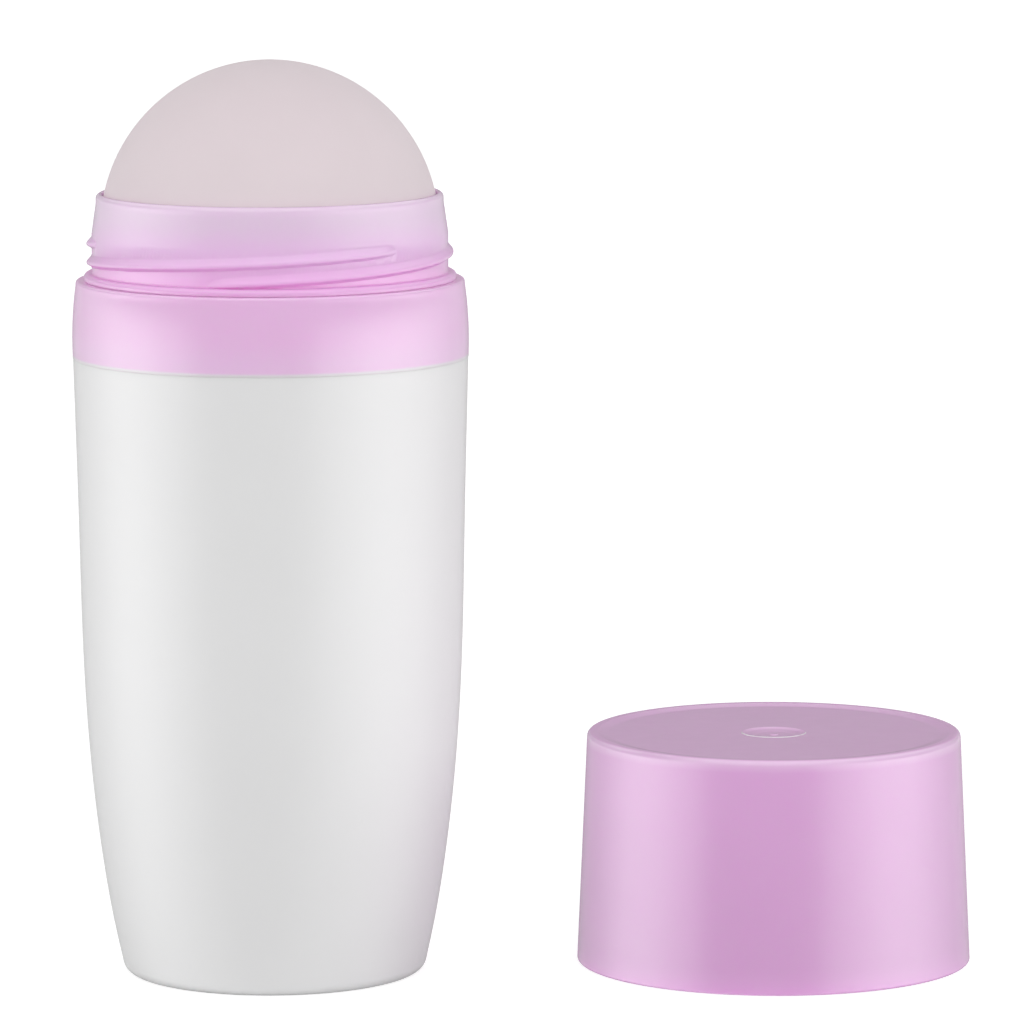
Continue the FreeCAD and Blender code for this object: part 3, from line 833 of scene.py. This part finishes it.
class ROLLON_OT_cap(bpy.types.Operator):
    """Pink screw cap, mouth down: drafted side, dished top with its gate mark, inner thread and press ring."""

    bl_idname = "rollon.cap"
    bl_label = "Cap"

    def execute(self, context):
        sizes = context.scene.roll_on_sizes
        slope = math.tan(sizes.cap_draft)
        height = CAP_HIGH.z
        ceiling = height - 1.54 * MM
        rim = sizes.cap_rim_radius
        top = rim - slope * height
        dish = height - 0.22 * MM
        dimple, gate = dish - 0.22 * MM, dish - 0.12 * MM
        land = top - 1.1 * MM
        mouth = sizes.neck_radius + BEAD_REACH + 0.25 * MM
        wall = sizes.neck_radius + sizes.thread_height + 0.15 * MM
        inside = rim - slope * ceiling - 1.45 * MM
        thread_zone = 6.5 * MM
        thread_zone_step = 0.12 * MM
        ball = sizes.ball_diameter / 2 + 0.07 * MM
        press, press_outer = 7.6 * MM, 8.6 * MM
        press_foot = ceiling - ball + math.sqrt(ball ** 2 - press ** 2)
        rim_round = 0.25 * MM
        spots = rounded([
            (0, ceiling, 0),
            (0, gate, 0),
            (0.45 * MM, gate, 0.08 * MM),
            (0.52 * MM, dimple, 0.08 * MM),
            (1.7 * MM, dimple + 0.035 * MM, 2.0 * MM),
            (2.8 * MM, dimple + 0.15 * MM, 2.0 * MM),
            (GATE_RING - RING_WIDTH, dish + RING_HEIGHT, 0.04 * MM),
            (GATE_RING, dish, 0.03 * MM),
            (land - 1.2 * MM, dish, 3.0 * MM),
            (land, height, 1.2 * MM),
            (top, height, 0.55 * MM),
            (rim - slope * rim_round, 0, rim_round),
            (mouth, 0, rim_round),
            (mouth, BEAD_HEIGHT + 0.3 * MM, 0),
            (wall, BEAD_HEIGHT + 0.7 * MM, 0),
            (wall, thread_zone, 0),
            (wall - thread_zone_step, thread_zone + thread_zone_step, 0),
            (inside, ceiling, 1.0 * MM),
            (press_outer, ceiling, 0.2 * MM),
            (press_outer, press_foot, 0.2 * MM),
            (press, press_foot, 0.2 * MM),
            (press, ceiling, 0.2 * MM),
            (0, ceiling, 0),
        ])
        piece = turned("screw_cap", spots, CAP_AXIS)
        pitch = sizes.thread_lead / THREAD_STARTS
        turn_on = 360 * (CAP_THREAD_FIRST_RISE - THREAD_FIRST_RISE + pitch / 2) / sizes.thread_lead
        ridge = thread_ridge(
            "cap_ridge", CAP_AXIS, wall, sizes.neck_radius + 0.2 * MM, THREAD_FIRST_ANGLE + turn_on,
            CAP_THREAD_SWEEP, CAP_THREAD_FIRST_RISE, sizes.thread_lead)
        weld_on(piece, repeat_round(ridge, CAP_AXIS, THREAD_STARTS))
        smooth(piece)
        colour = context.scene.roll_on_colours.cap
        # Painted light: the cap is lighter at its foot, a painted reflection of the table, and lighter towards its
        # top, as light falls on it
        shades = ((0, toned(colour, 1.02)), (3.0 * MM, toned(colour, 0.96)), (height, toned(colour, 1.02)))
        # Painted highlight: the cap's upper round edge is paler, and so is the ring round its gate mark
        rim_highlight_radius, rim_highlight_low, rim_highlight_high = top - 0.20 * MM, height - 1.3 * MM, height - 0.45 * MM
        finish = translucent_pink(
            "cap_pink", shades, scatter=0.8 * MM, ior=1.6, edge=(CAP_AXIS, rim_highlight_radius, rim_highlight_low, rim_highlight_high))
        wear(piece, finish, "cap", "cap")
        return {"FINISHED"}


class ROLLON_OT_inner_parts(bpy.types.Operator):
    """Finishes of the seat and the seal, which stay as the frame has them."""

    bl_idname = "rollon.inner_parts"
    bl_label = "Seat and seal"

    def execute(self, context):
        colours = context.scene.roll_on_colours
        for node, finish in (("ball_seat", soft_natural(colours.seat)), ("plug_seal", soft_rubber(colours.seal))):
            materials = frame["nodes"][node].data.materials
            materials.clear()
            materials.append(finish)
        return {"FINISHED"}


# ---- Stage ----

CAMERA_PLACE = Vector((25.25, -750.79, 148.14)) * MM
CAMERA_PITCH = math.radians(7.544)
CAMERA_ROLL = math.radians(-0.15)
FOCAL_PIXELS = 7200.0
FRAME_PIXELS = 1024.0
SENSOR_WIDTH = 36.0
CAMERA_REACH = 20.0
FLOOR_SIZE = 12.0

# Brightness of the room by direction, from the camera's side at -1 to the back at 1
DAYLIGHT = ((-1.0, 1.90), (0.0, 1.58), (0.45, 1.42), (1.0, 1.15))
DAYLIGHT_ABOVE = 0.28

# Brightness of the daylight at the left and at the right
DAYLIGHT_LEAN = (0.99, 1.03)

# What gloss sees of the room by direction, in the same way
SCREENS = (
    (-1.0, 0.57), (-0.92, 0.62), (-0.84, 0.9), (-0.76, 1.5), (-0.66, 1.81), (-0.5, 2.28), (-0.3, 2.74), (-0.1, 2.78),
    (0.1, 2.59), (0.3, 2.06), (0.43, 1.68), (0.52, 1.42), (0.72, 1.01), (0.86, 0.82), (0.94, 0.65), (1.0, 0.32),
)

# How far that shifts from the left to the right, strongest at the camera's side
SCREENS_LEAN = 0.18

# Rises of the view between which the screens come up at their foot and end at their head, and the ceiling begins
SCREENS_FOOT = (-0.45, -0.15)
SCREENS_HEAD = (0.0, 0.11)
CEILING_RISE = (0.3, 0.7)

# Share of the screens' brightness left at their foot, at the left and at the right
SCREENS_LOW = (0.62, 0.42)

# Brightness above the screens, and of the ceiling
ABOVE_SCREENS = 0.44
CEILING = 1.4

TABLE_GREY = (0.62, 0.62, 0.62, 1)
FLOOR_WHITE = (0.50, 0.50, 0.50, 1)
FLOOR_GLOW = 0.75


def pale_floor():
    """Plain pale floor that the camera sees as white, and that the pieces see as the grey table of a studio."""
    finish = bpy.data.materials.new("pale_floor")
    finish.use_nodes = True
    tree = finish.node_tree
    tree.nodes.clear()
    output = add_node(tree, "ShaderNodeOutputMaterial")
    table = add_node(tree, "ShaderNodeBsdfDiffuse", {"Color": TABLE_GREY})
    white = add_node(tree, "ShaderNodeBsdfDiffuse", {"Color": FLOOR_WHITE})
    glow = add_node(tree, "ShaderNodeEmission", {"Color": (1, 1, 1, 1), "Strength": FLOOR_GLOW})
    lit = add_node(tree, "ShaderNodeAddShader")
    mix = add_node(tree, "ShaderNodeMixShader")
    seen = add_node(tree, "ShaderNodeLightPath")
    tree.links.new(white.outputs[0], lit.inputs[0])
    tree.links.new(glow.outputs[0], lit.inputs[1])
    tree.links.new(seen.outputs["Is Camera Ray"], mix.inputs[0])
    tree.links.new(table.outputs[0], mix.inputs[1])
    tree.links.new(lit.outputs[0], mix.inputs[2])
    tree.links.new(mix.outputs[0], output.inputs["Surface"])
    return finish


def by_direction(tree, facing, spots):
    """A brightness for each direction: spots give it from the camera's side, at -1, to the back, at 1."""
    peak = max(brightness for _, brightness in spots)
    stops = [((place + 1) / 2, [brightness / peak] * 3) for place, brightness in spots]
    return times(tree, fill_ramp(tree, spread(tree, facing, 0, 1, -1, 1), stops), peak)


def studio_room(scene):
    """A white room: soft light strongest from the front, and tall bright screens that gloss sees at both sides."""
    scene.world = bpy.data.worlds.new("studio")
    scene.world.use_nodes = True
    tree = scene.world.node_tree
    tree.nodes.clear()
    output = add_node(tree, "ShaderNodeOutputWorld")
    room = add_node(tree, "ShaderNodeBackground", {"Color": (1, 1, 1, 1)})
    tree.links.new(room.outputs[0], output.inputs["Surface"])
    parts = add_node(tree, "ShaderNodeSeparateXYZ")
    tree.links.new(add_node(tree, "ShaderNodeTexCoord").outputs["Generated"], parts.inputs["Vector"])
    sideways, facing, upwards = parts.outputs
    daylight = times(tree, by_direction(tree, facing, DAYLIGHT), spread(tree, sideways, *DAYLIGHT_LEAN, -1, 1))
    soft = blend_values(tree, upwards, daylight, DAYLIGHT_ABOVE)
    uneven = add_node(tree, "ShaderNodeMath", operation="ADD")
    tree.links.new(facing, uneven.inputs[0])
    tree.links.new(times(tree, sideways, spread(tree, facing, SCREENS_LEAN, 0, -1, 1)), uneven.inputs[1])
    foot = spread(tree, sideways, *SCREENS_LOW, -1, 1)
    fading = blend_values(tree, spread(tree, upwards, 0, 1, *SCREENS_FOOT), foot, 1)
    screens = times(tree, by_direction(tree, uneven.outputs[0], SCREENS), fading)
    above = blend_values(tree, spread(tree, upwards, 0, 1, *CEILING_RISE), ABOVE_SCREENS, CEILING)
    seen_in_gloss = blend_values(tree, spread(tree, upwards, 0, 1, *SCREENS_HEAD), screens, above)
    ray = add_node(tree, "ShaderNodeLightPath")
    lit = blend_values(tree, ray.outputs["Is Glossy Ray"], soft, seen_in_gloss)
    tree.links.new(blend_values(tree, ray.outputs["Is Camera Ray"], lit, 1.0), room.inputs["Strength"])


class ROLLON_OT_stage(bpy.types.Operator):
    """Pale floor, soft studio light and the camera."""

    bl_idname = "rollon.stage"
    bl_label = "Stage"

    def execute(self, context):
        scene = context.scene
        deselect_all()
        bpy.ops.mesh.primitive_plane_add(size=FLOOR_SIZE, location=(0, 0, 0))
        floor = context.object
        floor.name = "floor"
        floor.data.materials.append(pale_floor())
        floor.visible_glossy = False
        for name in ("white_body", "screw_cap"):
            bpy.data.objects[name].visible_glossy = False
        studio_room(scene)

        bpy.ops.object.camera_add(location=CAMERA_PLACE)
        camera = context.object
        camera.name = "photo_camera"
        camera.data.sensor_width = SENSOR_WIDTH
        camera.data.lens = FOCAL_PIXELS / FRAME_PIXELS * SENSOR_WIDTH
        camera.data.clip_end = CAMERA_REACH
        turn = Matrix.Rotation(math.pi / 2 - CAMERA_PITCH, 4, "X") @ Matrix.Rotation(CAMERA_ROLL, 4, "Z")
        camera.matrix_world = Matrix.Translation(CAMERA_PLACE) @ turn
        scene.camera = camera
        scene.view_settings.view_transform = "Standard"
        return {"FINISHED"}


class ROLLON_PT_panel(bpy.types.Panel):
    """Lists the steps that build the bottle."""

    bl_idname = "ROLLON_PT_panel"
    bl_label = "Roll-on bottle"
    bl_space_type = "VIEW_3D"
    bl_region_type = "UI"
    bl_category = "Roll-on"

    def draw(self, context):
        layout = self.layout
        for step in STEPS:
            layout.operator(step.bl_idname)
        for group in (context.scene.roll_on_sizes, context.scene.roll_on_colours):
            for name in group.bl_rna.properties.keys():
                if name not in ("name", "rna_type"):
                    layout.prop(group, name)


STEPS = (ROLLON_OT_body, ROLLON_OT_collar, ROLLON_OT_neck, ROLLON_OT_ball, ROLLON_OT_cap, ROLLON_OT_inner_parts,
         ROLLON_OT_stage)
CLASSES = (RollOnSizes, RollOnColours) + STEPS + (ROLLON_PT_panel,)


def register():
    for made in CLASSES:
        bpy.utils.register_class(made)
    bpy.types.Scene.roll_on_sizes = bpy.props.PointerProperty(type=RollOnSizes)
    bpy.types.Scene.roll_on_colours = bpy.props.PointerProperty(type=RollOnColours)


def unregister():
    del bpy.types.Scene.roll_on_sizes
    del bpy.types.Scene.roll_on_colours
    for made in reversed(CLASSES):
        bpy.utils.unregister_class(made)


def main():
    register()
    bpy.ops.rollon.body()
    bpy.ops.rollon.collar()
    bpy.ops.rollon.neck()
    bpy.ops.rollon.ball()
    bpy.ops.rollon.cap()
    bpy.ops.rollon.inner_parts()
    bpy.ops.rollon.stage()


if __name__ == "__main__":
    main()
